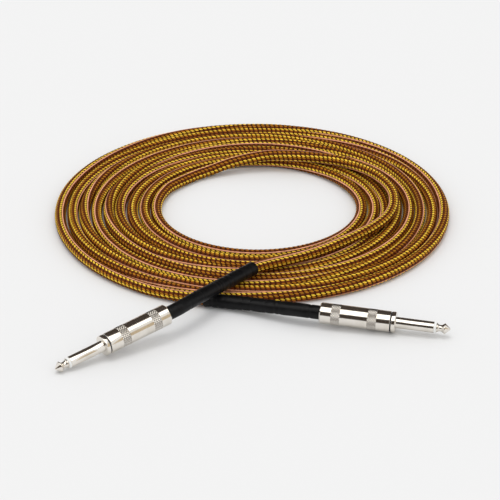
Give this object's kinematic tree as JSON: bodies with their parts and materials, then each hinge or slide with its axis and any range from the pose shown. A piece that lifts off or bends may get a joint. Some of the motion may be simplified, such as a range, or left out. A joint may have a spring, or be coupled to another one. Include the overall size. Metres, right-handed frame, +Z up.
{
  "type": "instrument cable",
  "caption": "Unbalanced instrument lead with a woven jacket, lying in a flat coil, with a straight quarter-inch phone plug, a screw-on barrel and a shrink boot on each end.",
  "frame": {"origin": "on the surface the lead lies on, midway between the two plugs", "axes": "+X from plug A across to plug B, +Y back over the coil, +Z up"},
  "size_m": [0.2383, 0.3117, 0.0193],
  "materials": {
    "nickel": "polished",
    "ring_white": "satin",
    "insulator": "matte",
    "fibre": "matte",
    "tinned": "satin",
    "solder": "satin",
    "copper": "satin",
    "core_white": "satin",
    "shrink_black": "matte",
    "jacket": "woven"
  },
  "bodies": {
    "root": {"plug_a_tip": "nickel", "plug_a_tip_ring": "ring_white", "plug_a_rod_tube": "insulator", "plug_a_sleeve": "nickel", "plug_a_washer": "fibre", "plug_a_back_insulator": "insulator", "plug_a_tip_lug": "tinned", "plug_a_ground_lug": "tinned", "plug_a_solder": "solder", "plug_a_conductor": "copper", "plug_a_core": "core_white", "plug_a_shield_tail": "copper", "plug_a_boot": "shrink_black", "plug_b_tip": "nickel", "plug_b_tip_ring": "ring_white", "plug_b_rod_tube": "insulator", "plug_b_sleeve": "nickel", "plug_b_washer": "fibre", "plug_b_back_insulator": "insulator", "plug_b_tip_lug": "tinned", "plug_b_ground_lug": "tinned", "plug_b_solder": "solder", "plug_b_conductor": "copper", "plug_b_core": "core_white", "plug_b_shield_tail": "copper", "plug_b_boot": "shrink_black", "cable_coil": "jacket", "cable_tail_a": "jacket", "cable_tail_b": "jacket"},
    "plug_a_liner": {"plug_a_liner": "fibre"},
    "plug_a_barrel": {"plug_a_barrel": "nickel"},
    "plug_b_liner": {"plug_b_liner": "fibre"},
    "plug_b_barrel": {"plug_b_barrel": "nickel"}
  },
  "joints": [
    {"name": "plug_a_barrel_travel", "type": "slide", "parent": "root", "child": "plug_a_liner", "axis": [0.8099, 0.5671, 0.1495], "range_m": [0, 0.006]},
    {"name": "plug_a_barrel_turn", "type": "hinge", "parent": "plug_a_liner", "child": "plug_a_barrel", "pos_m": [-0.0491, -0.0105, 0.01352], "axis": [0.8099, 0.5671, 0.1495], "range_deg": [0, 2160]},
    {"name": "plug_b_barrel_travel", "type": "slide", "parent": "root", "child": "plug_b_liner", "axis": [-0.9793, 0.1992, 0.0349], "range_m": [0, 0.006]},
    {"name": "plug_b_barrel_turn", "type": "hinge", "parent": "plug_b_liner", "child": "plug_b_barrel", "pos_m": [0.03615, 0.00245, 0.00742], "axis": [-0.9793, 0.1992, 0.0349], "range_deg": [0, 2160]}
  ],
  "couplings": [
    {"joint": "plug_a_barrel_turn", "follows": "plug_a_barrel_travel", "rad_per_m": 6283.2},
    {"joint": "plug_b_barrel_turn", "follows": "plug_b_barrel_travel", "rad_per_m": 6283.2}
  ]
}
